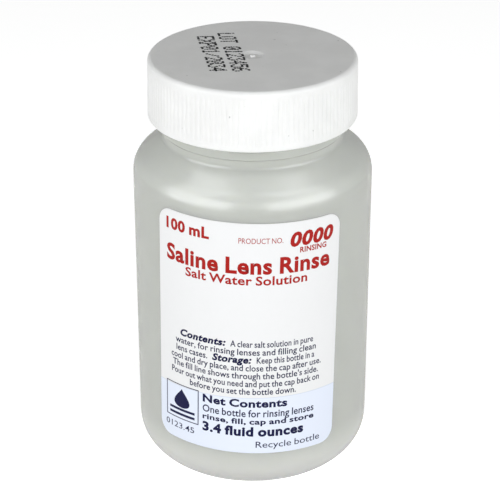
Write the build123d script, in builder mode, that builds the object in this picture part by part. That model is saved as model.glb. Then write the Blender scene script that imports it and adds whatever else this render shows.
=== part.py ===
"""A wide-mouth solution bottle with a ribbed screw cap, a foil-sealed mouth, a front label and its fill.

Millimetres, +Z up. The origin is the centre of the standing plane, and the label faces -Y.
Each piece is written to parts/ as one STEP file, named after the piece.
"""

import math
import os

from build123d import *

# ---- Bottle body -------------------------------------------------------------------------------
body_diameter = 47.0
land_height = 83.0  # standing plane to the sealing land at the top of the neck
body_wall = 0.8
heel_radius = 7.5  # outside, between the wall and the base
shoulder_slope = 37.0  # degrees below the horizontal, from the neck outwards
shoulder_radius = 5.2  # outside, between the wall and the shoulder
neck_height = 14.2  # land down to where the shoulder's slope meets the neck

base_wall = 1.1
push_up = 1.3  # how far the middle of the base stands off the table
push_up_crown = 0.35  # further rise of the base towards its centre
push_up_slant = 2.6  # radial length of the slope inside the standing ring
push_up_blend = 1.6
standing_ring_width = 1.7

# ---- Neck finish: 38 mm, one turn of a six-to-the-inch thread ----------------------------------
neck_diameter = 35.2  # thread root
neck_wall = 1.7  # thread root to the bore of the mouth
neck_fillet = 0.8  # outside, between the shoulder and the neck
mouth_fillet = 1.6  # inside, between the shoulder and the mouth
land_edge = 0.3  # rounding of the land's outer edge

thread_pitch = 25.4 / 6
thread_turns = 1.0
thread_depth = 1.1
thread_top_gap = 1.25  # land down to the upper edge of the thread
thread_root_width = 2.3
thread_crest_width = 1.1
thread_bite = 0.25  # how deep a thread is rooted in the wall that carries it
run_out_angle = 20.0  # degrees over which a thread's ends fade into its wall
bead_gap = 10.3  # land down to the top of the bead below the cap
bead_height = 2.3
bead_depth = 0.45

# ---- Mouth seal: heat-seal film and foil on the land, pulp board in the cap --------------------
seal_film_thickness = 0.05
foil_thickness = 0.08
seal_inset = 0.15  # edge of the seal to the rounded edge of the land
board_thickness = 0.8
board_side_gap = 0.3  # edge of the board to the cap's skirt
seating_gap = 0.02  # between faces of different bodies that rest on each other

# ---- Cap ---------------------------------------------------------------------------------------
cap_height = 11.8
cap_wall = 1.4  # at the rim
cap_draft = 0.2  # how much further in the skirt's outside is at the top than at the rim
cap_skirt_clearance = 0.3  # radial, neck thread's crest to the inside of the skirt
cap_crest_clearance = 0.35  # radial, cap thread's crest to the neck
cap_panel = 1.15
cap_edge_radius = 0.9
cap_rim_radius = 0.35
cap_lead_in = 0.4
cap_thread_root_width = 2.0
cap_thread_crest_width = 0.9
flank_clearance = 0.1  # axial, between the cap's thread and the neck's above it

rib_count = 120
rib_depth = 0.3  # outside of the skirt, at its middle, to the valleys between the ribs
valley_rise = 0.12  # a valley's floor to the crown of the rib beside it, along the rib's arc
rib_top_margin = 1.5
rib_bottom_margin = 1.0

dimple_diameter = 4.4
dimple_depth = 0.3
dimple_edge = 0.25
gate_diameter = 1.1
gate_height = 0.24

# ---- Label -------------------------------------------------------------------------------------
label_width = 38.3  # along the arc
label_bottom = 10.1
label_height = 50.3
label_corner = 3.0
adhesive_thickness = 0.03
face_thickness = 0.09

# ---- Fill --------------------------------------------------------------------------------------
headspace = 19.6  # land down to the surface of the fill
wetting_gap = 0.05  # between the fill and the bottle's inside

# ---- Sizes that follow -------------------------------------------------------------------------
body_radius = body_diameter / 2
neck_radius = neck_diameter / 2
thread_radius = neck_radius + thread_depth
mouth_radius = neck_radius - neck_wall
neck_base = land_height - neck_height
slope = math.radians(shoulder_slope)
ring_outer = body_radius - heel_radius
ring_inner = ring_outer - standing_ring_width

foil_bottom = land_height + seal_film_thickness
board_bottom = foil_bottom + foil_thickness + seating_gap
panel_bottom = board_bottom + board_thickness + seating_gap
cap_top = panel_bottom + cap_panel
cap_bottom = cap_top - cap_height
cap_inner_radius = thread_radius + cap_skirt_clearance
cap_crest_radius = neck_radius + cap_crest_clearance
cap_bottom_radius = cap_inner_radius + cap_wall
cap_top_radius = cap_bottom_radius - cap_draft
seal_radius = neck_radius - land_edge - seal_inset
adhesive_radius = body_radius + adhesive_thickness

# Height of each thread's centre where its helix starts, on +X. The threads come closest at one
# crest or the other, whichever leaves less room, and the cap's thread hangs just below the neck's.
neck_thread_start = (
    land_height - thread_top_gap - thread_root_width / 2 - thread_turns * thread_pitch
)
cap_thread_depth = cap_inner_radius - cap_crest_radius
neck_flank = (thread_root_width - thread_crest_width) / 2 / thread_depth
cap_flank = (cap_thread_root_width - cap_thread_crest_width) / 2 / cap_thread_depth
crest_overlap = thread_radius - cap_crest_radius
thread_reach = max(
    thread_crest_width / 2 + crest_overlap * neck_flank + cap_thread_crest_width / 2,
    thread_crest_width / 2 + crest_overlap * cap_flank + cap_thread_crest_width / 2,
)
cap_thread_start = neck_thread_start - thread_reach - flank_clearance


def bottle_line(inset=0.0, floor=0.0, mouth=neck_radius, blend=neck_fillet):
    """Half of the bottle's outside in section, from the base to the mouth, or a line inside it."""
    radius = body_radius - inset
    drop = inset / math.cos(slope)
    corners = (
        (0, floor + push_up + push_up_crown),
        (ring_inner - push_up_slant, floor + push_up),
        (ring_inner, floor),
        (radius, floor),
        (radius, neck_base - drop - (radius - neck_radius) * math.tan(slope)),
        (mouth, neck_base - drop - (mouth - neck_radius) * math.tan(slope)),
        (mouth, land_height),
    )
    radii = (push_up_blend, push_up_blend / 2, heel_radius - inset, shoulder_radius - inset, blend)
    return FilletPolyline(*corners, radius=radii)


def thread_section(root, crest, height, root_width, crest_width):
    """A closed thread section where its helix starts, rooted in the wall that carries it."""
    rooted = root + math.copysign(thread_bite, root - crest)
    return Polyline(
        (rooted, height - root_width / 2),
        (root, height - root_width / 2),
        (crest, height - crest_width / 2),
        (crest, height + crest_width / 2),
        (root, height + root_width / 2),
        (rooted, height + root_width / 2),
        close=True,
    )


def bead_section():
    """The closed section of the bead round the neck, with sloping ends."""
    top = land_height - bead_gap
    bottom = top - bead_height
    Polyline(
        (neck_radius - thread_bite, bottom),
        (neck_radius, bottom),
        (neck_radius + bead_depth, bottom + bead_depth),
        (neck_radius + bead_depth, top - bead_depth),
        (neck_radius, top),
        (neck_radius - thread_bite, top),
        close=True,
    )


def label_section(radius, thickness):
    """A layer of the label seen from above: a strip along the body, centred on -Y."""
    span = math.degrees(label_width / body_radius)
    inner = CenterArc((0, 0), radius, -90 - span / 2, span)
    outer = CenterArc((0, 0), radius + thickness, -90 - span / 2, span)
    Line(inner @ 0, outer @ 0)
    Line(inner @ 1, outer @ 1)


# ---- Neck thread -------------------------------------------------------------------------------
with BuildPart() as neck_thread:
    with BuildLine() as neck_helix:
        Helix(thread_pitch, thread_turns * thread_pitch, neck_radius, center=(0, 0, neck_thread_start))
    with BuildSketch(Plane.XZ):
        with BuildLine():
            thread_section(
                neck_radius, thread_radius, neck_thread_start, thread_root_width, thread_crest_width
            )
        make_face()
    sweep(path=neck_helix.wire(), is_frenet=True)
    # A flat across both ends lets them fade out instead of stopping square.
    flat_x = thread_radius * math.cos(math.radians(run_out_angle))
    with Locations((flat_x + body_radius, 0, neck_thread_start)):
        Box(body_diameter, body_diameter, land_height, mode=Mode.SUBTRACT)

# ---- Bottle ------------------------------------------------------------------------------------
with BuildPart() as bottle_shell:
    with BuildSketch(Plane.XZ):
        with BuildLine():
            outside = bottle_line()
            inside = bottle_line(body_wall, base_wall, mouth_radius, mouth_fillet)
            Line(outside @ 0, inside @ 0)
            Line(outside @ 1, inside @ 1)
        make_face()
    revolve(axis=Axis.Z)
    land = faces().filter_by(Plane.XY).sort_by(Axis.Z)[-1]
    fillet(land.outer_wire().edges(), land_edge)
    with BuildSketch(Plane.XZ):
        with BuildLine():
            bead_section()
        make_face()
    revolve(axis=Axis.Z)
    add(neck_thread.part)

# ---- Fill --------------------------------------------------------------------------------------
with BuildPart() as saline_fill:
    with BuildSketch(Plane.XZ):
        with BuildLine():
            cavity = bottle_line(
                body_wall + wetting_gap,
                base_wall + wetting_gap,
                mouth_radius - wetting_gap,
                mouth_fillet + wetting_gap,
            )
            Polyline(cavity @ 1, (0, land_height), cavity @ 0)
        make_face()
    revolve(axis=Axis.Z)
    split(bisect_by=Plane.XY.offset(land_height - headspace), keep=Keep.BOTTOM)

# ---- Mouth seal --------------------------------------------------------------------------------
with BuildPart() as seal_film:
    with BuildSketch(Plane.XY.offset(land_height)):
        Circle(seal_radius)
    extrude(amount=seal_film_thickness)

with BuildPart() as foil_membrane:
    with BuildSketch(Plane.XY.offset(foil_bottom)):
        Circle(seal_radius)
    extrude(amount=foil_thickness)

with BuildPart() as liner_board:
    with BuildSketch(Plane.XY.offset(board_bottom)):
        Circle(cap_inner_radius - board_side_gap)
    extrude(amount=board_thickness)

# ---- Cap thread --------------------------------------------------------------------------------
with BuildPart() as cap_thread:
    with BuildLine() as cap_helix:
        Helix(thread_pitch, thread_turns * thread_pitch, cap_inner_radius, center=(0, 0, cap_thread_start))
    with BuildSketch(Plane.XZ):
        with BuildLine():
            thread_section(
                cap_inner_radius,
                cap_crest_radius,
                cap_thread_start,
                cap_thread_root_width,
                cap_thread_crest_width,
            )
        make_face()
    sweep(path=cap_helix.wire(), is_frenet=True)
    # A round cutter that runs into the skirt between both ends lets them fade out.
    cutter_reach = cap_inner_radius + 2 * thread_bite
    crest_y = cap_crest_radius * math.sin(math.radians(run_out_angle))
    cutter_rise = cutter_reach - cap_crest_radius * math.cos(math.radians(run_out_angle))
    cutter_radius = (crest_y**2 + cutter_rise**2) / (2 * cutter_rise)
    with Locations((cutter_reach - cutter_radius, 0, cap_thread_start)):
        Cylinder(cutter_radius, land_height, mode=Mode.SUBTRACT)
    # A short skirt trims the thread at its lead-in.
    split(bisect_by=Plane.XY.offset(cap_bottom + cap_lead_in), keep=Keep.TOP)

# ---- Cap ---------------------------------------------------------------------------------------
with BuildPart() as cap_shell:
    with BuildSketch(Plane.XZ):
        with BuildLine():
            skin = FilletPolyline(
                (0, cap_top),
                (cap_top_radius, cap_top),
                (cap_bottom_radius, cap_bottom),
                (cap_inner_radius + cap_lead_in, cap_bottom),
                radius=(cap_edge_radius, cap_rim_radius),
            )
            Polyline(
                skin @ 1,
                (cap_inner_radius, cap_bottom + cap_lead_in),
                (cap_inner_radius, panel_bottom),
                (0, panel_bottom),
                skin @ 0,
            )
        make_face()
    revolve(axis=Axis.Z)

    # Ribs: what is left between the valleys when a scalloped ring is cut from the skirt.
    with BuildSketch(Plane.XY.offset(cap_bottom + rib_bottom_margin)):
        Circle(2 * cap_bottom_radius)
        with BuildLine():
            valley = (cap_top_radius + cap_bottom_radius) / 2 - rib_depth
            half_step = 180 / rib_count
            for rib in range(rib_count):
                middle = 2 * half_step * rib
                ThreePointArc(
                    Vector(valley, 0).rotate(Axis.Z, middle - half_step),
                    Vector(valley + rib_depth + valley_rise, 0).rotate(Axis.Z, middle),
                    Vector(valley, 0).rotate(Axis.Z, middle + half_step),
                )
        make_face(mode=Mode.SUBTRACT)
    extrude(amount=cap_height - rib_top_margin - rib_bottom_margin, mode=Mode.SUBTRACT)

    # The stub of the moulding gate stands in a dimple, below the top face.
    with BuildSketch(Plane.XY.offset(cap_top)):
        Circle(dimple_diameter / 2)
    extrude(amount=-dimple_depth, mode=Mode.SUBTRACT)
    fillet(edges(Select.LAST).group_by(Axis.Z)[0], dimple_edge)
    with BuildSketch(Plane.XY.offset(cap_top - dimple_depth)):
        Circle(gate_diameter / 2)
    extrude(amount=gate_height)

    add(cap_thread.part)

# ---- Label -------------------------------------------------------------------------------------
# Cutters for its four rounded corners, each set along the radius through the corner's centre.
corner_turn = (label_width / 2 - label_corner) / body_radius
corner_rise = label_height / 2 - label_corner
with BuildPart() as label_corners:
    for side in (-1, 1):
        azimuth = side * corner_turn - math.pi / 2
        outward = Vector(math.cos(azimuth), math.sin(azimuth))
        sideways = Vector(-math.sin(azimuth), math.cos(azimuth))
        for end in (-1, 1):
            height = label_bottom + label_height / 2 + end * corner_rise
            centre = outward * body_radius + Vector(0, 0, height)
            with BuildSketch(Plane(centre, x_dir=sideways, z_dir=outward)):
                with Locations((side * label_corner, end * label_corner)):
                    Rectangle(2 * label_corner, 2 * label_corner)
                Circle(label_corner, mode=Mode.SUBTRACT)
            extrude(amount=label_corner, both=True)

with BuildPart() as label_adhesive:
    with BuildSketch(Plane.XY.offset(label_bottom)):
        with BuildLine():
            label_section(body_radius, adhesive_thickness)
        make_face()
    extrude(amount=label_height)
    add(label_corners.part, mode=Mode.SUBTRACT)

with BuildPart() as label_face:
    with BuildSketch(Plane.XY.offset(label_bottom)):
        with BuildLine():
            label_section(adhesive_radius, face_thickness)
        make_face()
    extrude(amount=label_height)
    add(label_corners.part, mode=Mode.SUBTRACT)

# ---- Files -------------------------------------------------------------------------------------
pieces = {
    "bottle_shell": bottle_shell,
    "saline_fill": saline_fill,
    "seal_film": seal_film,
    "foil_membrane": foil_membrane,
    "liner_board": liner_board,
    "cap_shell": cap_shell,
    "label_adhesive": label_adhesive,
    "label_face": label_face,
}
os.makedirs("parts", exist_ok=True)
for name, piece in pieces.items():
    piece.part.label = name
    export_step(piece.part, f"parts/{name}.step")
    print(f"{name}: {piece.part.volume / 1000:.3f} cm3")
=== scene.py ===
"""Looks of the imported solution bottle: moulded plastics, fill, mouth seal, printed label and studio."""

import math

import bmesh
import bpy
import numpy as np
from bpy.props import FloatProperty, FloatVectorProperty, IntProperty, PointerProperty, StringProperty
from mathutils import Matrix, Vector


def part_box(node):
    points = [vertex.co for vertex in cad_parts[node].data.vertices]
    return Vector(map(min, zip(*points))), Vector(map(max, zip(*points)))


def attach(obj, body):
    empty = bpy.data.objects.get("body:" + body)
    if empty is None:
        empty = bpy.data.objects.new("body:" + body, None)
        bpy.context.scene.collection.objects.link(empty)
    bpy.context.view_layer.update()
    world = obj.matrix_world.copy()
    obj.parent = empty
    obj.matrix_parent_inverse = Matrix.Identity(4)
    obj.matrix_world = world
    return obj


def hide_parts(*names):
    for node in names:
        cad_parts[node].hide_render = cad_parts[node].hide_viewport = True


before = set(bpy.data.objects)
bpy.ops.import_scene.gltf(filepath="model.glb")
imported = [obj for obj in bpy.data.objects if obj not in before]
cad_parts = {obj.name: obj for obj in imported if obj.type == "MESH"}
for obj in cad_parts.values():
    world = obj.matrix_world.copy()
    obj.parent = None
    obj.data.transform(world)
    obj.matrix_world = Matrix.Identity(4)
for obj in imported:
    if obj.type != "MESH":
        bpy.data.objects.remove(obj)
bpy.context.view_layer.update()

bl_info = {
    "name": "Solution Bottle",
    "version": (1, 0, 0),
    "blender": (4, 5, 0),
    "location": "3D View > Sidebar > Bottle",
    "description": "Builds the looks of a wide-mouth solution bottle around its packed frame",
    "category": "Object",
}

MM = 0.001
BODY_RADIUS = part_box("bottle_shell")[1].x
LAND_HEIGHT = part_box("bottle_shell")[1].z
FILL_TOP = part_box("saline_fill")[1].z
FILM_LOW, FILM_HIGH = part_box("seal_film")
FOIL_LOW, FOIL_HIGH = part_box("foil_membrane")
BOARD_LOW, BOARD_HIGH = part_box("liner_board")
CAP_LOW, CAP_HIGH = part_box("cap_shell")
GLUE_LOW, GLUE_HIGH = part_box("label_adhesive")
LABEL_LOW, LABEL_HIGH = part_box("label_face")
GLUE_INNER = BODY_RADIUS
GLUE_OUTER = -GLUE_LOW.y
LABEL_OUTER = -LABEL_LOW.y


# ---- Sizes and finishes that a user would change ------------------------------------------------


def length(name, description, default):
    """A size in metres."""
    return FloatProperty(name=name, description=description, default=default, unit="LENGTH", precision=5)


def degrees(name, description, default):
    """An angle, given in degrees."""
    return FloatProperty(
        name=name, description=description, default=math.radians(default), subtype="ANGLE"
    )


def number(name, description, default):
    """A plain number."""
    return FloatProperty(name=name, description=description, default=default)


def colour(name, description, default):
    """A scene-linear colour."""
    return FloatVectorProperty(
        name=name, description=description, default=default, size=3, subtype="COLOR", min=0, max=1
    )


class BottleSizes(bpy.types.PropertyGroup):
    """Sizes of the blow-moulded bottle and its fill."""

    wall: length("Wall", "Thickness of the side wall", 0.8 * MM)
    floor: length("Floor", "Thickness of the base", 1.1 * MM)
    heel: length("Heel radius", "Rounding between the wall and the base", 7.5 * MM)
    shoulder: length("Shoulder radius", "Rounding between the wall and the shoulder", 5.2 * MM)
    slope: degrees("Shoulder slope", "Fall of the shoulder below the horizontal", 37)
    neck: length("Neck radius", "Radius at the root of the thread", 17.6 * MM)
    neck_height: length("Neck height", "Land down to where the shoulder meets the neck", 14.2 * MM)
    neck_wall: length("Neck wall", "Thread root to the bore of the mouth", 1.7 * MM)
    push_up: length("Push-up", "Height of the raised middle of the base", 1.3 * MM)
    ring: length("Standing ring", "Width of the ring that the bottle stands on", 1.7 * MM)
    pitch: length("Thread pitch", "Rise of the thread in one turn", 25.4 / 6 * MM)
    thread_depth: length("Thread depth", "How far the thread stands off the neck", 1.1 * MM)
    thread_gap: length("Thread gap", "Land down to the upper edge of the thread", 1.25 * MM)
    clearance: length("Fill clearance", "Between the fill and the inside of the bottle", 0.05 * MM)
    meniscus: length("Meniscus", "How far the fill creeps up the wall", 0.7 * MM)


class CapSizes(bpy.types.PropertyGroup):
    """Sizes of the moulded cap and the code printed on it."""

    ribs: IntProperty(name="Ribs", description="Ribs round the skirt", default=120, min=12)
    rib_depth: length("Rib depth", "Skirt's outside to the valleys between the ribs", 0.13 * MM)
    rib_rise: length("Rib rise", "Valley to the crown of the rib beside it", 0.13 * MM)
    draft: length("Draft", "How much narrower the skirt is at its top", 0.2 * MM)
    inside: length("Inside radius", "Inner radius of the skirt", 19.0 * MM)
    panel: length("Panel", "Thickness of the top", 1.15 * MM)
    thread_depth: length("Thread depth", "How far the thread stands off the skirt", 1.05 * MM)
    thread_drop: length("Thread drop", "Neck's thread down to the cap's thread below it", 1.51 * MM)
    edge: length("Edge radius", "Rounding between the top and the skirt", 0.9 * MM)
    dimple: length("Dimple radius", "Radius of the shallow dimple at the gate", 2.2 * MM)
    dimple_depth: length("Dimple depth", "Depth of the dimple at the gate", 0.3 * MM)
    code_first: StringProperty(name="Code", description="First line of the code", default="LOT 0123456")
    code_second: StringProperty(name="Date", description="Second line of the code", default="EXP01/2034")
    dot: length("Code dot", "Radius of one printed dot", 0.27 * MM)


class LabelLook(bpy.types.PropertyGroup):
    """Sizes and colours of the printed label."""

    width: length("Width", "Label's width along its arc", 38.3 * MM)
    corner: length("Corner radius", "Rounding of the label's corners", 3.0 * MM)
    tilt: degrees("Tilt", "How far the label was stuck on askew", 1.2)
    band: length("Band height", "Height of the tinted band above the label's lower edge", 12.6 * MM)
    ink: length("Ink", "Thickness of the printed ink", 0.008 * MM)
    strip: length("Strip", "Width of the strips that a flat layer is cut into to follow the body", 0.7 * MM)
    paper: colour("Paper", "Colour of the label's face", (0.83, 0.83, 0.835))
    tint: colour("Band tint", "Colour of the label's lower band", (0.76, 0.81, 0.925))
    red: colour("Red ink", "Colour of the headings", (0.38, 0.007, 0.004))
    navy: colour("Navy ink", "Colour of the small print", (0.003, 0.004, 0.050))


class Finishes(bpy.types.PropertyGroup):
    """Colours of the moulded and filled pieces."""

    natural: colour("Natural plastic", "Milky unpigmented polyethylene", (0.74, 0.755, 0.71))
    # heel: painted light, a lighter colour for the bottle's base that stands in for the light gathering in
    # its thick heel.
    heel: colour("Heel", "Milky tone of the thick heel, where light gathers", (0.95, 0.96, 0.90))
    white: colour("White plastic", "White polypropylene of the cap", (0.88, 0.88, 0.87))
    saline: colour("Saline", "Tint of the fill", (0.93, 0.96, 0.97))
    foil: colour("Foil", "Aluminium of the mouth seal", (0.82, 0.83, 0.84))
    board: colour("Board", "Pulp board of the liner", (0.78, 0.75, 0.66))
    code: colour("Code ink", "Ink of the printed code", (0.012, 0.012, 0.014))


class StudioSizes(bpy.types.PropertyGroup):
    """The camera and the studio light."""

    azimuth: degrees("Azimuth", "Camera's turn towards +X from the label's side", 3.2)
    elevation: degrees("Elevation", "Camera's height angle", 26.449)
    distance: length("Distance", "Camera to the point that it looks at", 366.0 * MM)
    target: length("Target height", "Height of the point that the camera looks at", 42.3 * MM)
    lens: number("Lens", "Focal length in millimetres", 130.42)
    key: number("Key light", "Power of each front softbox in watts", 2.55)
    strip: number("Strip light", "Power of each high strip light in watts", 0.95)
    ambient: number("Ambient", "Strength of the room's light", 1.0)
    above: colour("Room above", "Light from the room's ceiling and walls", (0.24, 0.24, 0.235))
    below: colour("Room below", "Light thrown back by the table", (0.68, 0.68, 0.665))
    floor_glow: number("Floor glow", "Light that the floor gives off", 0.6)


# ---- Node graphs --------------------------------------------------------------------------------


class Value:
    """A node's output. Arithmetic on it adds Math nodes to its tree."""

    def __init__(self, graph, socket):
        self.graph, self.socket = graph, socket

    def __add__(self, other):
        return self.graph.maths("ADD", self, other)

    def __radd__(self, other):
        return self.graph.maths("ADD", other, self)

    def __sub__(self, other):
        return self.graph.maths("SUBTRACT", self, other)

    def __rsub__(self, other):
        return self.graph.maths("SUBTRACT", other, self)

    def __mul__(self, other):
        return self.graph.maths("MULTIPLY", self, other)

    def __rmul__(self, other):
        return self.graph.maths("MULTIPLY", other, self)

    def __truediv__(self, other):
        return self.graph.maths("DIVIDE", self, other)

    def __abs__(self):
        return self.graph.maths("ABSOLUTE", self)

    def output(self, name):
        """Another output of the same node."""
        return Value(self.graph, self.socket.node.outputs[name])


class Graph:
    """A node tree that is written as expressions."""

    def __init__(self, tree):
        self.tree = tree

    def node(self, kind, settings=(), inputs=(), output=0):
        """Adds a node: its settings first, then its sockets' values or links, by name or place."""
        made = self.tree.nodes.new(kind)
        for key, value in dict(settings).items():
            setattr(made, key, value)
        for key, value in dict(inputs).items():
            if isinstance(value, Value):
                self.tree.links.new(value.socket, made.inputs[key])
            else:
                made.inputs[key].default_value = value
        return Value(self, made.outputs[output]) if len(made.outputs) else None

    def maths(self, operation, *values):
        """One Math node."""
        return self.node("ShaderNodeMath", {"operation": operation}, dict(enumerate(values)))

    def step(self, value, low, high):
        """0 below low, 1 above high, and a smooth change between."""
        return self.node(
            "ShaderNodeMapRange", {"interpolation_type": "SMOOTHSTEP"}, {0: value, 1: low, 2: high}
        )

    def blend(self, factor, first, second):
        """A mix of two colours."""
        return self.node(
            "ShaderNodeMix", {"data_type": "RGBA"}, {0: factor, 6: first, 7: second}, output="Result"
        )

    def noise(self, place, scale, detail=2.0, roughness=0.5):
        """Fractal noise at a number of features a metre."""
        return self.node(
            "ShaderNodeTexNoise",
            {},
            {"Vector": place, "Scale": scale, "Detail": detail, "Roughness": roughness},
        )

    def bump(self, height, distance, strength=1.0, below=None):
        """A normal from a height of 0 to 1 times a distance in metres."""
        inputs = {"Height": height, "Distance": distance, "Strength": strength}
        if below is not None:
            inputs["Normal"] = below
        return self.node("ShaderNodeBump", {}, inputs)


def rgba(values):
    """A property's colour with full alpha."""
    return (*values, 1.0)


def dimmed(values, part):
    """A part of a property's colour, with full alpha."""
    return rgba(part * level for level in values)


def material(name, build):
    """A new material. build(graph, place) returns the Principled shader's values and links."""
    made = bpy.data.materials.new(name)
    made.use_nodes = True
    made.node_tree.nodes.clear()
    graph = Graph(made.node_tree)
    place = graph.node("ShaderNodeTexCoord", output="Object")
    shader = graph.node("ShaderNodeBsdfPrincipled", {}, build(graph, place))
    graph.node("ShaderNodeOutputMaterial", {}, {"Surface": shader})
    return made


# ---- Materials ----------------------------------------------------------------------------------


def natural_plastic():
    """Milky polyethylene, satin from the mould, that lets light and the fill show through. Its colour holds
    painted light: lighter above the fill line, darker below it, and lighter towards the base.
    """
    looks = bpy.context.scene.bottle_finishes

    def build(graph, place):
        cloud = graph.noise(place, 90, 3, 0.6)
        height = graph.node("ShaderNodeSeparateXYZ", {}, {0: place}).output("Z")
        # Painted light and shade: the wall is painted lighter above the fill line for the light that the
        # dry wall scatters back, and darker below it, where the fill takes the light in.
        dry = graph.step(height, FILL_TOP - 0.5 * MM, FILL_TOP + 0.2 * MM)
        grain = graph.noise(place, 5200, 2, 0.6)
        orange_peel = graph.noise(place, 700, 2, 0.5)
        skin = graph.bump(grain, 0.008 * MM, 0.5, graph.bump(orange_peel, 0.02 * MM, 0.5))
        clouds = graph.step(cloud, 0.3, 0.7)
        # Random cloudy tone, dimmed as painted shade on the wall below the fill line.
        cloudy_painted_light_and_shade_below_fill = graph.blend(clouds, dimmed(looks.natural, 0.93), dimmed(looks.natural, 0.95))
        # Painted light: the colour grows lighter towards the base, for the light that gathers in the thick
        # heel.
        heel = 1 - graph.step(height, 3 * MM, 13 * MM)
        cloudy_painted_light_and_shade_below_fill = graph.blend(heel, cloudy_painted_light_and_shade_below_fill, rgba(looks.heel))
        return {
            "Base Color": graph.blend(dry, cloudy_painted_light_and_shade_below_fill, rgba(looks.natural)),
            "Roughness": 0.19 + 0.06 * grain,
            "Normal": skin,
            "IOR": 1.54,
            "Specular IOR Level": 0.9,
            "Transmission Weight": 0.42,
            "Subsurface Weight": 1.0,
            "Subsurface Radius": (1.0, 1.0, 0.92),
            "Subsurface Scale": 1.6 * MM,
        }

    return material("natural_polyethylene", build)


def white_plastic():
    """White polypropylene with a fine sandblasted skin, faint scuffs and a few dark specks."""
    looks = bpy.context.scene.bottle_finishes

    def build(graph, place):
        cloud = graph.noise(place, 120, 3, 0.6)
        grain = graph.noise(place, 4200, 3, 0.6)
        scuff = graph.step(graph.noise(place, 260, 5, 0.75), 0.60, 0.72)
        speck = graph.step(graph.noise(place, 620, 2, 0.5), 0.735, 0.77)
        base = graph.blend(graph.step(cloud, 0.35, 0.7), dimmed(looks.white, 0.95), rgba(looks.white))
        base = graph.blend(speck, base, dimmed(looks.white, 0.62))
        return {
            "Base Color": base,
            "Roughness": 0.42 + 0.10 * grain - 0.06 * scuff,
            "Normal": graph.bump(grain, 0.01 * MM, 0.5),
            "IOR": 1.49,
            "Subsurface Weight": 0.35,
            "Subsurface Radius": (1.0, 1.0, 0.95),
            "Subsurface Scale": 0.6 * MM,
        }

    return material("white_polypropylene", build)


def salt_solution():
    """Clear water-like fill."""
    looks = bpy.context.scene.bottle_finishes
    return material(
        "saline",
        lambda graph, place: {
            "Base Color": rgba(looks.saline),
            "Roughness": 0.0,
            "IOR": 1.335,
            "Transmission Weight": 1.0,
            "Alpha": 0.4,
        },
    )


def rolled_foil():
    """Bright aluminium foil with faint rolling lines."""
    looks = bpy.context.scene.bottle_finishes

    def build(graph, place):
        along = graph.node("ShaderNodeMapping", {}, {"Vector": place, "Scale": (1, 40, 1)})
        lines = graph.noise(along, 180, 4, 0.7)
        return {
            "Base Color": rgba(looks.foil),
            "Metallic": 1.0,
            "Roughness": 0.20 + 0.22 * lines,
            "Normal": graph.bump(lines, 0.006 * MM, 0.6),
        }

    return material("aluminium_foil", build)


def clear_film():
    """Thin clear film or adhesive."""
    return material(
        "clear_film",
        lambda graph, place: {
            "Base Color": (0.86, 0.86, 0.83, 1),
            "Roughness": 0.25 + 0.1 * graph.noise(place, 900, 2, 0.5),
            "Alpha": 0.6,
        },
    )


def pulp_board():
    """Off-white board with short fibres."""
    looks = bpy.context.scene.bottle_finishes

    def build(graph, place):
        along = graph.node("ShaderNodeMapping", {}, {"Vector": place, "Scale": (1, 3, 1)})
        fibre = graph.noise(along, 1500, 6, 0.7)
        strands = graph.step(fibre, 0.35, 0.65)
        return {
            "Base Color": graph.blend(strands, dimmed(looks.board, 0.82), rgba(looks.board)),
            "Roughness": 0.85,
            "Normal": graph.bump(fibre, 0.03 * MM, 0.7),
        }

    return material("pulp_board", build)


def label_paper():
    """Coated white label stock with a pale tint across its lower band."""
    look = bpy.context.scene.bottle_label

    def build(graph, place):
        height = graph.node("ShaderNodeSeparateXYZ", {}, {0: place}).output("Z")
        edge = LABEL_LOW.z + look.band
        band = 1 - graph.step(height, edge - 0.02 * MM, edge + 0.02 * MM)
        rule = graph.step(abs(height - edge), 0.06 * MM, 0.1 * MM)
        mottle = graph.noise(place, 700, 4, 0.7)
        white = graph.blend(mottle, dimmed(look.paper, 0.97), rgba(look.paper))
        tinted = graph.blend(band, white, rgba(look.tint))
        return {
            "Base Color": graph.blend(rule, dimmed(look.tint, 0.86), tinted),
            "Roughness": 0.40 + 0.12 * mottle,
            "Normal": graph.bump(mottle, 0.008 * MM, 0.4),
            "Coat Weight": 0.15,
            "Coat Roughness": 0.3,
        }

    return material("label_stock", build)


def ink(name, shade):
    """A printed ink with slightly uneven cover."""

    def build(graph, place):
        cover = graph.noise(place, 2600, 3, 0.7)
        thin = tuple(level + 0.02 for level in shade)
        return {
            "Base Color": graph.blend(graph.step(cover, 0.55, 0.85), rgba(shade), rgba(thin)),
            "Roughness": 0.42 + 0.1 * cover,
            "Specular IOR Level": 0.25,
        }

    return material(name, build)


def studio_floor():
    """Pale seamless paper that gives off a little light, and that is clear from below."""
    studio = bpy.context.scene.bottle_studio
    made = bpy.data.materials.new("studio_floor")
    made.use_nodes = True
    made.node_tree.nodes.clear()
    graph = Graph(made.node_tree)
    fibre = graph.noise(graph.node("ShaderNodeTexCoord", output="Object"), 400, 4, 0.6)
    paper = graph.node(
        "ShaderNodeBsdfPrincipled",
        {},
        {
            "Base Color": graph.blend(fibre, (0.86, 0.86, 0.86, 1), (0.89, 0.89, 0.89, 1)),
            "Roughness": 0.8,
            "Specular IOR Level": 0.2,
            "Emission Color": (1, 1, 1, 1),
            "Emission Strength": studio.floor_glow,
        },
    )
    below = graph.node("ShaderNodeNewGeometry", output="Backfacing")
    clear = graph.node("ShaderNodeBsdfTransparent")
    graph.node(
        "ShaderNodeOutputMaterial",
        {},
        {"Surface": graph.node("ShaderNodeMixShader", {}, {0: below, 1: paper, 2: clear})},
    )
    return made


# ---- Mesh making --------------------------------------------------------------------------------

SHARP = math.radians(38)


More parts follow.
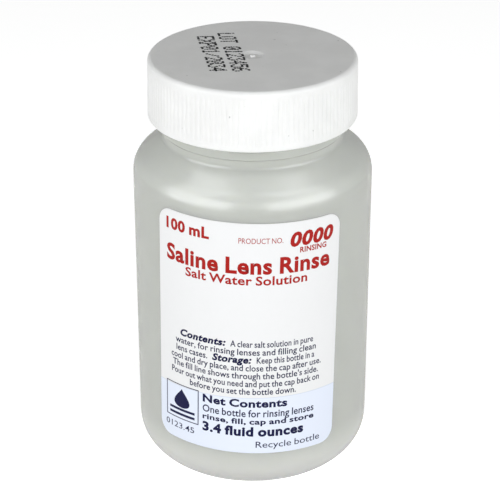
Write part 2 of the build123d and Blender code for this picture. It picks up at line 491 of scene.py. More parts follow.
def mesh_of(name, points, faces, finish):
    """A mesh with smooth faces and sharp edges where they turn steeply."""
    mesh = bpy.data.meshes.new(name)
    mesh.from_pydata([tuple(point) for point in points], [], [tuple(face) for face in faces])
    mesh.materials.append(finish)
    mesh.shade_smooth()
    mesh.set_sharp_from_angle(angle=SHARP)
    return mesh


def add_piece(name, mesh, body, slot=None, node=None):
    """Adds a finished mesh as a piece that rides on a CAD body, and that may stand for a CAD node."""
    made = bpy.data.objects.new(name, mesh)
    bpy.context.scene.collection.objects.link(made)
    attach(made, body)
    if node:
        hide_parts(node)
    return made


def rounded(corners, radii, step=math.radians(6), hold=0.05 * MM):
    """A polyline of (radius, height) points whose inner corners are rounded or held sharp."""
    corners = [np.array(corner, float) for corner in corners]
    points = [corners[0]]
    for before, corner, after, radius in zip(corners, corners[1:], corners[2:], radii):
        back = (before - corner) / np.linalg.norm(before - corner)
        ahead = (after - corner) / np.linalg.norm(after - corner)
        half = math.acos(max(-1.0, min(1.0, float(back @ ahead)))) / 2
        reach = radius / math.tan(half)
        start, end = corner + back * reach, corner + ahead * reach
        points.append(start + back * hold)
        if radius > 0:
            middle = back + ahead
            centre = corner + middle / np.linalg.norm(middle) * radius / math.sin(half)
            spoke = start - centre
            side = math.copysign(1, spoke[0] * (end - centre)[1] - spoke[1] * (end - centre)[0])
            count = max(2, math.ceil((math.pi - 2 * half) / step))
            for i in range(count + 1):
                turn = side * (math.pi - 2 * half) * i / count
                cos, sin = math.cos(turn), math.sin(turn)
                arm = (cos * spoke[0] - sin * spoke[1], sin * spoke[0] + cos * spoke[1])
                points.append(centre + np.array(arm))
        else:
            points.append(corner)
        points.append(end + ahead * hold)
    points.append(corners[-1])
    return points


def divided(points, spacing):
    """The same polyline with no run longer than spacing(height)."""
    finer = [points[0]]
    for start, end in zip(points, points[1:]):
        limit = spacing((start[1] + end[1]) / 2)
        count = max(1, math.ceil(np.linalg.norm(end - start) / limit))
        finer += [start + (end - start) * i / count for i in range(1, count + 1)]
    return finer


def turned(name, profile, angles, finish):
    """A closed mesh turned about Z from a profile that starts and ends on the axis."""
    points, rings = [], []
    for radius, height in profile:
        if radius < 1e-9:
            rings.append([len(points)] * len(angles))
            points.append((0.0, 0.0, height))
        else:
            rings.append(list(range(len(points), len(points) + len(angles))))
            points += [(radius * math.cos(angle), radius * math.sin(angle), height) for angle in angles]
    faces = []
    for low, high in zip(rings, rings[1:]):
        for i in range(len(angles)):
            j = (i + 1) % len(angles)
            face = list(dict.fromkeys((low[i], low[j], high[j], high[i])))
            if len(face) > 2:
                faces.append(face)
    return mesh_of(name, points, outward(points, faces), finish)


def outward(points, faces):
    """The faces of a closed mesh, turned over if they point inwards."""
    points = np.array(points)
    volume = 0.0
    for face in faces:
        for second, third in zip(face[1:], face[2:]):
            volume += np.dot(points[face[0]], np.cross(points[second], points[third]))
    return faces if volume > 0 else [face[::-1] for face in faces]


def even_angles(count):
    """Angles once round."""
    return [2 * math.pi * i / count for i in range(count)]


SOCKETS = {float: "NodeSocketFloat", bpy.types.Material: "NodeSocketMaterial"}


def through_nodes(name, mesh, sizes, build):
    """The mesh that a new Geometry Nodes tree makes of a mesh. sizes are its named inputs."""
    tree = bpy.data.node_groups.new(name, "GeometryNodeTree")
    tree.interface.new_socket("Geometry", in_out="INPUT", socket_type="NodeSocketGeometry")
    tree.interface.new_socket("Geometry", in_out="OUTPUT", socket_type="NodeSocketGeometry")
    named = {}
    for title, value in {**sizes, "Finish": mesh.materials[0]}.items():
        named[title] = tree.interface.new_socket(title, in_out="INPUT", socket_type=SOCKETS[type(value)])
    graph = Graph(tree)
    source = graph.node("NodeGroupInput")
    inputs = {title: source.output(title) for title in named}
    made = graph.node("GeometryNodeRealizeInstances", {}, {0: build(graph, source, inputs)})
    made = graph.node("GeometryNodeSetMaterial", {}, {"Geometry": made, "Material": inputs["Finish"]})
    graph.node("NodeGroupOutput", {}, {0: made})

    blank = bpy.data.objects.new(name, mesh)
    bpy.context.scene.collection.objects.link(blank)
    modifier = blank.modifiers.new(name, "NODES")
    modifier.node_group = tree
    for title, value in {**sizes, "Finish": mesh.materials[0]}.items():
        modifier[named[title].identifier] = value
    done = bpy.data.meshes.new_from_object(blank.evaluated_get(bpy.context.evaluated_depsgraph_get()))
    blank.modifiers.remove(modifier)
    bpy.data.objects.remove(blank)
    done.name = name
    done.set_sharp_from_angle(angle=SHARP)
    return done


def polar(graph):
    """(part of a turn from 0 to 1, radius, height, unit vector away from the axis) of each point."""
    position = graph.node("GeometryNodeInputPosition")
    split = graph.node("ShaderNodeSeparateXYZ", {}, {0: position})
    x, y = split.output("X"), split.output("Y")
    turn = graph.maths("FRACT", graph.maths("ARCTAN2", y, x) / (2 * math.pi) + 1)
    radius = graph.maths("SQRT", x * x + y * y)
    flat = graph.node("ShaderNodeCombineXYZ", {}, {"X": x, "Y": y})
    away = graph.node("ShaderNodeVectorMath", {"operation": "NORMALIZE"}, {0: flat})
    return turn, radius, split.output("Z"), away


def pushed(graph, geometry, direction, amount):
    """Moves each point along a direction."""
    offset = graph.node("ShaderNodeVectorMath", {"operation": "SCALE"}, {0: direction, "Scale": amount})
    return graph.node("GeometryNodeSetPosition", {}, {"Geometry": geometry, "Offset": offset})


def threaded(name, mesh, wall, start, pitch, depth, root, crest):
    """Raises one turn of a helical thread from a round wall; a negative depth stands inwards."""

    def build(graph, geometry, inputs):
        turn, radius, height, away = polar(graph)
        off_centre = abs(height - (inputs["Start"] + inputs["Pitch"] * turn))
        ridge = 1 - graph.step(off_centre, inputs["Crest"] / 2, inputs["Root"] / 2)
        run_out = graph.step(graph.maths("MINIMUM", turn, 1 - turn), 0.008, 0.055)
        on_wall = graph.maths("LESS_THAN", abs(radius - inputs["Wall"]), 0.05 * MM)
        return pushed(graph, geometry, away, inputs["Depth"] * ridge * run_out * on_wall)

    sizes = {"Wall": wall, "Start": start, "Pitch": pitch, "Depth": depth, "Root": root, "Crest": crest}
    return through_nodes(name, mesh, sizes, build)


# ---- Flat layers that follow the body -----------------------------------------------------------


def cut_in_strips(flat, spacing):
    """Cuts a flat mesh into strips along Y, narrow enough to follow the body."""
    reach = max(abs(vertex.co.x) for vertex in flat.verts)
    count = math.ceil(reach / spacing)
    for i in range(-count, count + 1):
        everything = flat.verts[:] + flat.edges[:] + flat.faces[:]
        bmesh.ops.bisect_plane(flat, geom=everything, plane_co=(i * spacing, 0, 0), plane_no=(1, 0, 0))


def wrapped(name, flat, radius, thickness, finish):
    """A flat mesh in (arc, height) made into a closed layer on the body, its middle facing -Y."""
    middle = Vector((0, (LABEL_LOW.z + LABEL_HIGH.z) / 2, 0))
    turn = Matrix.Rotation(-bpy.context.scene.bottle_label.tilt, 3, "Z")
    bmesh.ops.rotate(flat, verts=flat.verts, cent=middle, matrix=turn)
    cut_in_strips(flat, bpy.context.scene.bottle_label.strip)
    flat.verts.ensure_lookup_table()
    flat.verts.index_update()
    sheet = [tuple(vertex.co.xy) for vertex in flat.verts]
    faces = [[vertex.index for vertex in face.verts] for face in flat.faces if face.calc_area() > 1e-13]
    faces = [face if flat_area(sheet, face) > 0 else face[::-1] for face in faces]
    flat.free()
    count = len(sheet)
    edges = {pair for face in faces for pair in zip(face, face[1:] + face[:1])}
    rims = [(a, b, b + count, a + count) for a, b in edges if (b, a) not in edges]
    backs = [face[::-1] for face in faces]
    fronts = [[index + count for index in face] for face in faces]
    points = [
        (out * math.sin(arc / radius), -out * math.cos(arc / radius), height)
        for out in (radius, radius + thickness)
        for arc, height in sheet
    ]
    return mesh_of(name, points, backs + fronts + sorted(rims), finish)


def flat_area(sheet, face):
    """Signed area of a flat face."""
    pairs = zip(face, face[1:] + face[:1])
    return sum(sheet[a][0] * sheet[b][1] - sheet[b][0] * sheet[a][1] for a, b in pairs) / 2


def add_outline(flat, outline):
    """Adds one flat face with the given outline."""
    flat.faces.new([flat.verts.new((x, y, 0)) for x, y in outline])


def rounded_box(left, right, low, high, radius, steps=8):
    """Outline of a rectangle with rounded corners."""
    outline = []
    centres = ((right - radius, low + radius), (right - radius, high - radius),
               (left + radius, high - radius), (left + radius, low + radius))
    for quarter, (x, y) in enumerate(centres):
        for i in range(steps + 1):
            angle = math.pi / 2 * (quarter - 1 + i / steps)
            outline.append((x + radius * math.cos(angle), y + radius * math.sin(angle)))
    return outline


def glyphs(words, weight, slant):
    """Words as a flat mesh, one unit high over its capitals, starting at the origin."""
    curve = bpy.data.curves.new("words", "FONT")
    curve.body = words
    curve.offset = weight
    curve.shear = slant
    curve.space_character = 1 + 2 * weight
    curve.space_word = 0.75
    curve.resolution_u = 3
    holder = bpy.data.objects.new("words", curve)
    mesh = bpy.data.meshes.new_from_object(holder)
    bpy.data.objects.remove(holder)
    made = bmesh.new()
    made.from_mesh(mesh)
    bpy.data.meshes.remove(mesh)
    bmesh.ops.remove_doubles(made, verts=made.verts, dist=1e-5)
    return made


def capital_height(weight):
    """Height of the built-in font's capitals at size 1."""
    letter = glyphs("H", weight, 0)
    height = max(vertex.co.y for vertex in letter.verts)
    letter.free()
    return height


def add_words(flat, words, left, right, baseline, height, weight, slant):
    """Sets a line of words between two sides, all in millimetres."""
    line = glyphs(words, weight, slant)
    low = min(vertex.co.x for vertex in line.verts)
    high = max(vertex.co.x for vertex in line.verts)
    stretch = (right - left) / (high - low)
    rise = height / capital_height(weight)
    for vertex in line.verts:
        vertex.co = (
            (left + (vertex.co.x - low) * stretch) * MM,
            (baseline + vertex.co.y * rise) * MM,
            0,
        )
    mesh = bpy.data.meshes.new("line")
    line.to_mesh(mesh)
    line.free()
    flat.from_mesh(mesh)
    bpy.data.meshes.remove(mesh)


# Each line of print: its words, left, right, baseline and capital height in millimetres from the
# label's middle line and the standing plane, then the weight and slant of its letters.
RED_LINES = (
    ("100 mL", -17.2, -7.5, 56.5, 2.3, 0.040, 0),
    ("PRODUCT NO.", -1.8, 6.7, 56.3, 1.1, 0.0, 0),
    ("0000", 8.1, 17.5, 55.4, 2.9, 0.045, 0.18),
    ("RINSING", 10.1, 15.9, 53.9, 1.1, 0.030, 0),
    ("Saline Lens Rinse", -17.1, 16.8, 50.0, 3.35, 0.034, 0),
    ("Salt Water Solution", -12.5, 11.8, 47.6, 1.85, 0.024, 0),
)
NAVY_LINES = (
    ("Contents:", -13.7, -3.9, 34.1, 1.5, 0.045, 0.2),
    ("A clear salt solution in pure", -3.0, 13.6, 34.1, 1.35, 0.014, 0),
    ("water, for rinsing lenses and filling clean", -14.9, 14.3, 32.34, 1.35, 0.014, 0),
    ("lens cases.", -14.7, -7.6, 30.58, 1.35, 0.014, 0),
    ("Storage:", -6.6, 1.2, 30.58, 1.5, 0.045, 0.2),
    ("Keep this bottle in a", 2.2, 14.0, 30.58, 1.35, 0.014, 0),
    ("cool and dry place, and close the cap after use.", -16.0, 15.6, 28.82, 1.35, 0.014, 0),
    ("The fill line shows through the bottle's side.", -15.6, 15.0, 27.06, 1.35, 0.014, 0),
    ("Pour out what you need and put the cap back on", -15.9, 15.3, 25.3, 1.35, 0.014, 0),
    ("before you set the bottle down.", -11.4, 10.2, 23.55, 1.35, 0.014, 0),
    ("Net Contents", -8.5, 8.5, 20.7, 1.7, 0.038, 0),
    ("One bottle for rinsing lenses", -8.5, 14.3, 18.45, 1.6, 0.014, 0),
    ("rinse, fill, cap and store", -8.5, 14.35, 16.8, 1.2, 0.030, 0),
    ("3.4 fluid ounces", -8.5, 12.1, 14.1, 2.05, 0.045, 0),
    ("0123.45", -17.6, -10.4, 12.5, 1.3, 0.002, 0),
    ("Recycle bottle", 2.4, 15.9, 11.4, 1.4, 0.002, 0),
)
LOGO_LEFT, LOGO_RIGHT, LOGO_LOW, LOGO_HIGH = -17.4, -9.4, 14.8, 22.8
LOGO_LINE = 0.2


def add_logo(flat):
    """A boxed water drop above two bars."""
    left, right, low, high, line = (
        value * MM for value in (LOGO_LEFT, LOGO_RIGHT, LOGO_LOW, LOGO_HIGH, LOGO_LINE)
    )
    bar, gap = 0.55 * MM, 0.9 * MM
    boxes = [
        (left, right, low, low + line),
        (left, right, high - line, high),
        (left, left + line, low + line, high - line),
        (right - line, right, low + line, high - line),
    ]
    boxes += [(left + gap, right - gap, low + rise, low + rise + bar) for rise in (0.8 * MM, 1.9 * MM)]
    for x0, x1, y0, y1 in boxes:
        add_outline(flat, ((x0, y0), (x1, y0), (x1, y1), (x0, y1)))
    middle, height, drop = (left + right) / 2, high - 3.15 * MM, 2.2 * MM
    outline = []
    for i in range(48):
        angle = 2 * math.pi * i / 48
        outline.append(
            (
                middle + 1.25 * drop * math.sin(angle) * math.sin(angle / 2) ** 1.6,
                height + drop * math.cos(angle),
            )
        )
    add_outline(flat, outline[::-1])


def print_mesh(name, lines, finish, logo=False):
    """All the printing of one ink."""
    flat = bmesh.new()
    for line in lines:
        add_words(flat, *line)
    if logo:
        add_logo(flat)
    thickness = bpy.context.scene.bottle_label.ink
    return wrapped(name, flat, LABEL_OUTER, thickness, finish)


# ---- The code on the cap ------------------------------------------------------------------------

DOT_LETTERS = {
    "0": "01110 10001 10011 10101 11001 10001 01110",
    "1": "00100 01100 00100 00100 00100 00100 01110",
    "2": "01110 10001 00001 00010 00100 01000 11111",
    "3": "11111 00010 00100 00010 00001 10001 01110",
    "4": "00010 00110 01010 10010 11111 00010 00010",
    "5": "11111 10000 11110 00001 00001 10001 01110",
    "6": "00110 01000 10000 11110 10001 10001 01110",
    "E": "11111 10000 10000 11110 10000 10000 11111",
    "L": "10000 10000 10000 10000 10000 10000 11111",
    "O": "01110 10001 10001 10001 10001 10001 01110",
    "P": "11110 10001 10001 11110 10000 10000 10000",
    "T": "11111 00100 00100 00100 00100 00100 00100",
    "X": "10001 10001 01010 00100 01010 10001 10001",
    "/": "00000 00001 00010 00100 01000 10000 00000",
    " ": "00000 00000 00000 00000 00000 00000 00000",
}
CODE_TURN = math.radians(-78)
CODE_COLUMN = 0.33 * MM
CODE_ROW = 0.48 * MM
CODE_STARTS = ((-7.4 * MM, 11.6 * MM), (-11.3 * MM, 9.5 * MM))


def code_dots(words, start, shear=0.12):
    """Centres of a printed line's dots on the cap's top."""
    along = Vector((math.cos(CODE_TURN), math.sin(CODE_TURN), 0))
    up = Vector((-along.y, along.x, 0))
    dots = []
    for place, letter in enumerate(words):
        for row, pattern in enumerate(DOT_LETTERS[letter].split()):
            for column, mark in enumerate(pattern):
                if mark == "1":
                    rise = (6 - row) * CODE_ROW
                    run = (place * 6 + column) * CODE_COLUMN + shear * rise
                    dots.append(Vector((start[0], start[1], CAP_HIGH.z)) + along * run + up * rise)
    return dots


def build_dots(graph, geometry, inputs):
    """Stands a low round dot on each point, with small changes of size and place."""
    dot = graph.node(
        "GeometryNodeMeshCylinder",
        {},
        {"Vertices": 8, "Radius": inputs["Dot radius"], "Depth": inputs["Ink"]},
    )
    jitter = inputs["Jitter"]
    drift = graph.node(
        "FunctionNodeRandomValue",
        {"data_type": "FLOAT_VECTOR"},
        {0: (-1, -1, 0), 1: (1, 1, 0), "Seed": 4},
    )
    offset = graph.node("ShaderNodeVectorMath", {"operation": "SCALE"}, {0: drift, "Scale": jitter})
    spread = graph.node("GeometryNodeSetPosition", {}, {"Geometry": geometry, "Offset": offset})
    size = graph.node(
        "FunctionNodeRandomValue", {"data_type": "FLOAT"}, {2: 0.8, 3: 1.15, "Seed": 9}, output=1
    )
    return graph.node(
        "GeometryNodeInstanceOnPoints", {}, {"Points": spread, "Instance": dot, "Scale": size}
    )


# ---- Profiles -----------------------------------------------------------------------------------

PUSH_UP_CROWN = 0.35 * MM
PUSH_UP_SLANT = 2.6 * MM
PUSH_UP_BLEND = 1.6 * MM
NECK_FILLET = 0.8 * MM
BEAD_GAP = 10.3 * MM
BEAD_HEIGHT = 2.3 * MM
BEAD_DEPTH = 0.45 * MM
MOUTH_FILLET = 1.6 * MM
LAND_EDGE = 0.3 * MM
THREAD_ROOT = 2.3 * MM
THREAD_CREST = 1.1 * MM
CAP_THREAD_ROOT = 2.0 * MM
CAP_THREAD_CREST = 0.9 * MM
THREAD_ROW = 0.16 * MM
WALL_ROW = 4.0 * MM
RIB_END = 0.8 * MM
SEAM_HEIGHT = 0.035 * MM
SEAM_WIDTH = 0.35 * MM
SEAL_SAG = 0.25 * MM
SEAL_WRINKLE = 0.22 * MM
BOARD_DENT = 0.05 * MM


def bottle_half(inset, floor, mouth, blend):
    """Corners and radii of the bottle's outside, or of a line inside it, from base to mouth."""
    size = bpy.context.scene.bottle_sizes
    radius = BODY_RADIUS - inset
    base = LAND_HEIGHT - size.neck_height
    ring = BODY_RADIUS - size.heel - size.ring
    tangent = math.tan(size.slope)
    drop = inset / math.cos(size.slope)
    corners = [
        (0, floor + size.push_up + PUSH_UP_CROWN),
        (ring - PUSH_UP_SLANT, floor + size.push_up),
        (ring, floor),
        (radius, floor),
        (radius, base - drop - (radius - size.neck) * tangent),
        (mouth, base - drop - (mouth - size.neck) * tangent),
        (mouth, LAND_HEIGHT),
    ]
    radii = [PUSH_UP_BLEND, PUSH_UP_BLEND / 2, size.heel - inset, size.shoulder - inset, blend]
    return corners, radii


def bottle_profile():
    """The bottle's closed section: up its outside, over the land and down its inside."""
    size = bpy.context.scene.bottle_sizes
    outside, outer_radii = bottle_half(0, 0, size.neck, NECK_FILLET)
    bead, bead_top = size.neck + BEAD_DEPTH, LAND_HEIGHT - BEAD_GAP
    bead_low = bead_top - BEAD_HEIGHT
    outside[-1:-1] = [
        (size.neck, bead_low),
        (bead, bead_low + BEAD_DEPTH),
        (bead, bead_top - BEAD_DEPTH),
        (size.neck, bead_top),
    ]
    outer_radii += [0.15 * MM, 0.3 * MM, 0.3 * MM, 0.15 * MM]
    inside, inner_radii = bottle_half(size.wall, size.floor, size.neck - size.neck_wall, MOUTH_FILLET)
    radii = outer_radii + [LAND_EDGE, 0] + inner_radii[::-1]
    low, high = LAND_HEIGHT - 9 * MM, LAND_HEIGHT - 1 * MM
    line = rounded(outside + inside[::-1], radii)
    return divided(line, lambda height: THREAD_ROW if low < height < high else WALL_ROW)


def seam_angles(count):
    """Even angles with a fine group at each side, for the mould's parting line."""
    fine = [side + step / 1000 for side in (0, math.pi) for step in (-14, -7, -3, 3, 7, 14)]
    return sorted({round(angle % (2 * math.pi), 6) for angle in even_angles(count) + fine})


def parting_line(name, mesh, height, width):
    """Raises the fine line that the two halves of the mould leave on both sides of the bottle."""

    def build(graph, geometry, inputs):
        turn, radius, z, away = polar(graph)
        sideways = graph.maths("MINIMUM", abs(turn - 0.5), graph.maths("MINIMUM", turn, 1 - turn))
        near = 1 - graph.step(sideways * radius * (2 * math.pi), 0.0, inputs["Width"])
        low = graph.step(z, 0.4 * MM, 2 * MM)
        high = 1 - graph.step(z, inputs["Top"] - 1 * MM, inputs["Top"])
        outside = graph.maths("GREATER_THAN", radius, inputs["Inside"])
        return pushed(graph, geometry, away, inputs["Height"] * near * low * high * outside)

    size = bpy.context.scene.bottle_sizes
    sizes = {"Height": height, "Width": width, "Top": LAND_HEIGHT - size.neck_height,
             "Inside": BODY_RADIUS - size.wall / 2}
    return through_nodes(name, mesh, sizes, build)


def cap_profile():
    """The cap's closed section: under its panel, down the inside, round the rim and over the top."""
    size = bpy.context.scene.bottle_cap
    outer = CAP_HIGH.x
    lead = 0.4 * MM
    floor = CAP_HIGH.z - size.dimple_depth
    low, high = rib_ends()
    ends = (low, low + RIB_END, high - RIB_END, high)
    slope = size.draft / (CAP_HIGH.z - CAP_LOW.z)
    corners = [
        (0, CAP_HIGH.z - size.panel),
        (size.inside, CAP_HIGH.z - size.panel),
        (size.inside, CAP_LOW.z + lead),
        (size.inside + lead, CAP_LOW.z),
        (outer, CAP_LOW.z),
        *((outer - slope * (height - CAP_LOW.z), height) for height in ends),
        (outer - size.draft, CAP_HIGH.z),
        (size.dimple, CAP_HIGH.z),
        (0.55 * size.dimple, floor),
        (0.55 * MM, floor),
        (0.45 * MM, CAP_HIGH.z - 0.06 * MM),
        (0, CAP_HIGH.z - 0.06 * MM),
    ]
    radii = [0.3 * MM, 0.1 * MM, 0.1 * MM, 0.35 * MM, 0, 0, 0, 0, size.edge, 1.2 * MM, 1.2 * MM, 0.05 * MM,
             0.08 * MM]
    line = rounded(corners, radii, step=math.radians(10), hold=0.02 * MM)
    turn = next(i for i, point in enumerate(line) if point[0] > size.inside + 0.2 * MM)
    low, high = CAP_LOW.z + 0.6 * MM, CAP_LOW.z + 7.2 * MM
    inside = divided(line[:turn], lambda height: 0.2 * MM if low < height < high else 2.4 * MM)
    return inside + divided(line[turn - 1:], lambda height: 3 * MM)[1:]


def rib_ends():
    """Heights between which the skirt is ribbed."""
    return CAP_LOW.z + 0.7 * MM, CAP_HIGH.z - 1.3 * MM


def ribbed(name, mesh):
    """Sinks the ribbed belt into the skirt, deepest in the valleys between the ribs."""
    size = bpy.context.scene.bottle_cap

    def build(graph, geometry, inputs):
        turn, radius, height, away = polar(graph)
        across = graph.maths("FRACT", turn * inputs["Ribs"] + 0.5) - 0.5
        low = graph.step(height, inputs["Low"], inputs["Low"] + RIB_END)
        high = 1 - graph.step(height, inputs["High"] - RIB_END, inputs["High"])
        outside = graph.maths("GREATER_THAN", radius, inputs["Inside"])
        crown = inputs["Rise"] * (1 - 4 * across * across)
        return pushed(graph, geometry, away, (crown - inputs["Depth"]) * low * high * outside)

    low, high = rib_ends()
    sizes = {
        "Ribs": float(size.ribs),
        "Depth": size.rib_depth,
        "Rise": size.rib_rise,
        "Low": low,
        "High": high,
        "Inside": size.inside + 0.9 * MM,
    }
    return through_nodes(name, mesh, sizes, build)


def fill_profile():
    """The fill's closed section: up the bottle's inside and over a surface that creeps up the wall."""
    size = bpy.context.scene.bottle_sizes
    corners, radii = bottle_half(
        size.wall + size.clearance,
        size.floor + size.clearance,
        size.neck - size.neck_wall - size.clearance,
        MOUTH_FILLET + size.clearance,
    )
    line = divided(rounded(corners, radii), lambda height: WALL_ROW)
    above = next(i for i, point in enumerate(line) if point[1] > FILL_TOP)
    start, end = line[above - 1], line[above]
    edge = start + (end - start) * (FILL_TOP - start[1]) / (end[1] - start[1])
    surface = []
    for i in range(1, 15):
        back = edge[0] * (i / 14) ** 2.4
        surface.append((edge[0] - back, FILL_TOP - size.meniscus * (1 - math.exp(-back / (1.4 * MM)))))
    return line[:above] + [edge] + surface


def disc_profile(radius, low, high, rows):
    """A disc's closed section, with rings close enough for its faces to be shaped."""
    across = [radius * i / rows for i in range(rows + 1)]
    return [(x, low) for x in across] + [(x, high) for x in reversed(across)]


def slack(name, mesh, radius, sag, wrinkle):
    """Lets the middle of a thin disc hang a little and pucker, inside the mouth that holds its edge."""

    def build(graph, geometry, inputs):
        turn, away_from_axis, _, _ = polar(graph)
        inner = 1 - graph.step(away_from_axis, inputs["Radius"] * 0.25, inputs["Radius"])
        place = graph.node("ShaderNodeCombineXYZ", {}, {"X": away_from_axis * 260, "Y": turn * 9})
        pucker = graph.node("ShaderNodeTexNoise", {}, {"Vector": place, "Scale": 1.0, "Detail": 2.0})
        join = graph.step(graph.maths("MINIMUM", turn, 1 - turn), 0.0, 0.06)
        drop = inputs["Sag"] * inner + inputs["Wrinkle"] * pucker * inner * join
        down = graph.node("ShaderNodeCombineXYZ", {}, {"Z": -1.0})
        return pushed(graph, geometry, down, drop)

    return through_nodes(name, mesh, {"Radius": radius, "Sag": sag, "Wrinkle": wrinkle}, build)


# ---- Pieces -------------------------------------------------------------------------------------


class BOTTLE_OT_shell(bpy.types.Operator):
    """Build the blow-moulded bottle with its neck thread and parting line"""

    bl_idname = "bottle.shell"
    bl_label = "Bottle"

    def execute(self, context):
        size = context.scene.bottle_sizes
        mesh = turned("bottle", bottle_profile(), seam_angles(240), natural_plastic())
        start = LAND_HEIGHT - size.thread_gap - THREAD_ROOT / 2 - size.pitch
        depth = size.thread_depth
        mesh = threaded("bottle", mesh, size.neck, start, size.pitch, depth, THREAD_ROOT, THREAD_CREST)
        mesh = parting_line("bottle", mesh, SEAM_HEIGHT, SEAM_WIDTH)
        add_piece("bottle", mesh, "bottle", "natural_polyethylene", "bottle_shell")
        return {"FINISHED"}


class BOTTLE_OT_fill(bpy.types.Operator):
    """Build the salt solution with its meniscus"""

    bl_idname = "bottle.fill"
    bl_label = "Fill"

    def execute(self, context):
        mesh = turned("fill", fill_profile(), even_angles(192), salt_solution())
        add_piece("fill", mesh, "bottle", "saline", "saline_fill")
        return {"FINISHED"}


class BOTTLE_OT_seal(bpy.types.Operator):
    """Build the foil membrane and the film that bonds it to the mouth"""

    bl_idname = "bottle.seal"
    bl_label = "Mouth seal"

    def execute(self, context):
        size = context.scene.bottle_sizes
        mouth = size.neck - size.neck_wall
        for name, low, high, finish, slot, node in (
            ("film", FILM_LOW, FILM_HIGH, clear_film(), "heat_seal_film", "seal_film"),
            ("foil", FOIL_LOW, FOIL_HIGH, rolled_foil(), "aluminium_foil", "foil_membrane"),
        ):
            mesh = turned(name, disc_profile(high.x, low.z, high.z, 40), even_angles(120), finish)
            mesh = slack(name, mesh, mouth - 0.3 * MM, SEAL_SAG, SEAL_WRINKLE)
            add_piece(name, mesh, "bottle", slot, node)
        return {"FINISHED"}


class BOTTLE_OT_liner(bpy.types.Operator):
    """Build the pulp board that presses the seal, with the ring that the land leaves in it"""

    bl_idname = "bottle.liner"
    bl_label = "Liner"

    def execute(self, context):
        size = context.scene.bottle_sizes
        radius, low, high = BOARD_HIGH.x, BOARD_LOW.z, BOARD_HIGH.z
        mouth = size.neck - size.neck_wall
        corners = [
            (0, low),
            (mouth, low),
            (mouth + BOARD_DENT, low + BOARD_DENT),
            (size.neck - BOARD_DENT, low + BOARD_DENT),
            (size.neck, low),
            (radius, low),
            (radius, high),
            (0, high),
        ]
        line = rounded(corners, [0, 0, 0, 0, 0.12 * MM, 0.12 * MM], step=math.radians(20), hold=0.01 * MM)
        mesh = turned("liner", line, even_angles(144), pulp_board())
        add_piece("liner", mesh, "liner", "pulp_board", "liner_board")
        return {"FINISHED"}


class BOTTLE_OT_cap(bpy.types.Operator):
    """Build the cap with its ribs, inner thread and moulding gate"""

    bl_idname = "bottle.cap"
    bl_label = "Cap"

    def execute(self, context):
        size = context.scene.bottle_cap
        bottle = context.scene.bottle_sizes
        mesh = turned("cap", cap_profile(), even_angles(6 * size.ribs), white_plastic())
        mesh = ribbed("cap", mesh)
        start = LAND_HEIGHT - bottle.thread_gap - THREAD_ROOT / 2 - bottle.pitch - size.thread_drop
        depth = -size.thread_depth
        mesh = threaded(
            "cap", mesh, size.inside, start, bottle.pitch, depth, CAP_THREAD_ROOT, CAP_THREAD_CREST
        )
        add_piece("cap", mesh, "cap", "white_polypropylene", "cap_shell")
        return {"FINISHED"}


class BOTTLE_OT_code(bpy.types.Operator):
    """Print the dotted code on the cap"""

    bl_idname = "bottle.code"
    bl_label = "Cap code"

    def execute(self, context):
        size = context.scene.bottle_cap
        dots = []
        for words, start in zip((size.code_first, size.code_second), CODE_STARTS):
            dots += code_dots(words, start)
        points = bpy.data.meshes.new("code")
        points.from_pydata([tuple(dot) for dot in dots], [], [])
        points.materials.append(ink("code_ink", context.scene.bottle_finishes.code))
        sizes = {"Dot radius": size.dot, "Ink": 0.012 * MM, "Jitter": 0.05 * MM}
        add_piece("code", through_nodes("code", points, sizes, build_dots), "cap")
        return {"FINISHED"}


class BOTTLE_OT_label(bpy.types.Operator):
    """Build the label's adhesive, its face and its printing"""

    bl_idname = "bottle.label"
    bl_label = "Label"

    def execute(self, context):
        look = context.scene.bottle_label
        half = look.width / 2
        for name, inner, outer, finish, slot, node in (
            ("label_glue", GLUE_INNER, GLUE_OUTER, clear_film(), "label_glue", "label_adhesive"),
            ("label", GLUE_OUTER, LABEL_OUTER, label_paper(), "label_stock", "label_face"),
        ):
            flat = bmesh.new()
            add_outline(flat, rounded_box(-half, half, LABEL_LOW.z, LABEL_HIGH.z, look.corner))
            mesh = wrapped(name, flat, inner, outer - inner, finish)
            add_piece(name, mesh, "bottle", slot, node)
        red, navy = ink("red_ink", look.red), ink("navy_ink", look.navy)
        add_piece("red_print", print_mesh("red_print", RED_LINES, red), "bottle")
        add_piece("navy_print", print_mesh("navy_print", NAVY_LINES, navy, logo=True), "bottle")
        return {"FINISHED"}


# ---- Studio -------------------------------------------------------------------------------------


LIGHT_COLOUR = (0.97, 0.985, 1.0)
FLOOR_RADIUS = 3
FLOOR_SIDES = 64
SENSOR_WIDTH = 36
LENS_SHIFT = (-0.0052, 0.0094)


def area_light(name, azimuth, elevation, distance, width, height, power):
    """A softbox that faces the bottle. Azimuth 0 is in front of the label, and grows towards +X."""
    data = bpy.data.lights.new(name, "AREA")
    data.shape = "RECTANGLE"
    data.size, data.size_y, data.energy = width, height, power
    data.color = LIGHT_COLOUR
    light = bpy.data.objects.new(name, data)
    bpy.context.scene.collection.objects.link(light)
    aim = Vector((0, 0, 0.5 * LAND_HEIGHT))
    back = direction(azimuth, elevation)
    light.visible_camera = False
    light.location = aim + back * distance
    light.rotation_euler = (-back).to_track_quat("-Z", "Y").to_euler()
    return light


def direction(azimuth, elevation):
    """Unit vector from the bottle at a turn from the label's side and a height angle."""
    flat = math.cos(elevation)
    return Vector((math.sin(azimuth) * flat, -math.cos(azimuth) * flat, math.sin(elevation)))


def light_pair(name, azimuth, elevation, distance, width, height, power):
    """The same softbox to the left and to the right of the label."""
    return [
        area_light(f"{side}_{name}", turn * azimuth, elevation, distance, width, height, power)
        for side, turn in (("left", -1), ("right", 1))
    ]


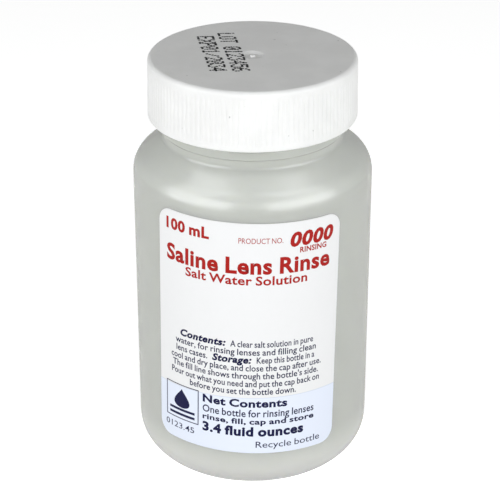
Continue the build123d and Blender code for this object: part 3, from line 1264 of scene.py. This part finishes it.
class BOTTLE_OT_studio(bpy.types.Operator):
    """Set the floor, the lights and the camera"""

    bl_idname = "bottle.studio"
    bl_label = "Studio"

    def execute(self, context):
        studio = context.scene.bottle_studio
        outline = [
            (FLOOR_RADIUS * math.cos(angle), FLOOR_RADIUS * math.sin(angle), 0)
            for angle in even_angles(FLOOR_SIDES)
        ]
        mesh = mesh_of("floor", outline, [range(FLOOR_SIDES)], studio_floor())
        floor = bpy.data.objects.new("floor", mesh)
        context.scene.collection.objects.link(floor)
        floor.visible_diffuse = False
        floor.visible_glossy = False

        light_pair("softbox", math.radians(50), math.radians(17), 0.55, 0.68, 0.36, studio.key)
        # The two high strips shine on the bottle alone, so that the cap's top stays quiet.
        lit = bpy.data.collections.new("shoulder_light")
        lit.objects.link(bpy.data.objects["bottle"])
        strips = light_pair("strip", math.radians(64), math.radians(55), 0.6, 0.36, 0.40, studio.strip)
        for light in strips:
            light.light_linking.receiver_collection = lit

        world = bpy.data.worlds.new("room")
        world.use_nodes = True
        world.node_tree.nodes.clear()
        graph = Graph(world.node_tree)
        height = graph.node("ShaderNodeSeparateXYZ", {}, {0: graph.node("ShaderNodeTexCoord")}).output("Z")
        shade = graph.blend(graph.step(height, -0.5, 0.1), rgba(studio.below), rgba(studio.above))
        glow = graph.node("ShaderNodeBackground", {}, {"Color": shade, "Strength": studio.ambient})
        graph.node("ShaderNodeOutputWorld", {}, {"Surface": glow})
        context.scene.world = world
        context.scene.view_settings.view_transform = "Standard"

        lens = bpy.data.cameras.new("camera")
        lens.lens = studio.lens
        lens.sensor_width = SENSOR_WIDTH
        lens.shift_x, lens.shift_y = LENS_SHIFT
        camera = bpy.data.objects.new("camera", lens)
        context.scene.collection.objects.link(camera)
        back = direction(studio.azimuth, studio.elevation)
        camera.location = Vector((0, 0, studio.target)) + back * studio.distance
        camera.rotation_euler = (-back).to_track_quat("-Z", "Y").to_euler()
        context.scene.camera = camera
        return {"FINISHED"}


# ---- Add-on -------------------------------------------------------------------------------------

OPERATORS = (
    BOTTLE_OT_shell,
    BOTTLE_OT_fill,
    BOTTLE_OT_seal,
    BOTTLE_OT_liner,
    BOTTLE_OT_cap,
    BOTTLE_OT_code,
    BOTTLE_OT_label,
    BOTTLE_OT_studio,
)


class BOTTLE_PT_sidebar(bpy.types.Panel):
    """Sizes, finishes and steps of the solution bottle"""

    bl_label = "Solution Bottle"
    bl_idname = "BOTTLE_PT_sidebar"
    bl_space_type = "VIEW_3D"
    bl_region_type = "UI"
    bl_category = "Bottle"

    def draw(self, context):
        for operator in OPERATORS:
            self.layout.operator(operator.bl_idname)
        for name, group in GROUPS.items():
            box = self.layout.box()
            for key in group.__annotations__:
                box.prop(getattr(context.scene, name), key)


GROUPS = {
    "bottle_sizes": BottleSizes,
    "bottle_cap": CapSizes,
    "bottle_label": LabelLook,
    "bottle_finishes": Finishes,
    "bottle_studio": StudioSizes,
}
CLASSES = (*GROUPS.values(), *OPERATORS, BOTTLE_PT_sidebar)


def register():
    """Registers the classes and adds their settings to the scene."""
    for cls in CLASSES:
        bpy.utils.register_class(cls)
    for name, group in GROUPS.items():
        setattr(bpy.types.Scene, name, PointerProperty(type=group))


def unregister():
    """Takes the settings and the classes away again."""
    for name in GROUPS:
        delattr(bpy.types.Scene, name)
    for cls in reversed(CLASSES):
        bpy.utils.unregister_class(cls)


def main():
    register()
    for operator in OPERATORS:
        group, name = operator.bl_idname.split(".")
        getattr(getattr(bpy.ops, group), name)()


if __name__ == "__main__":
    main()
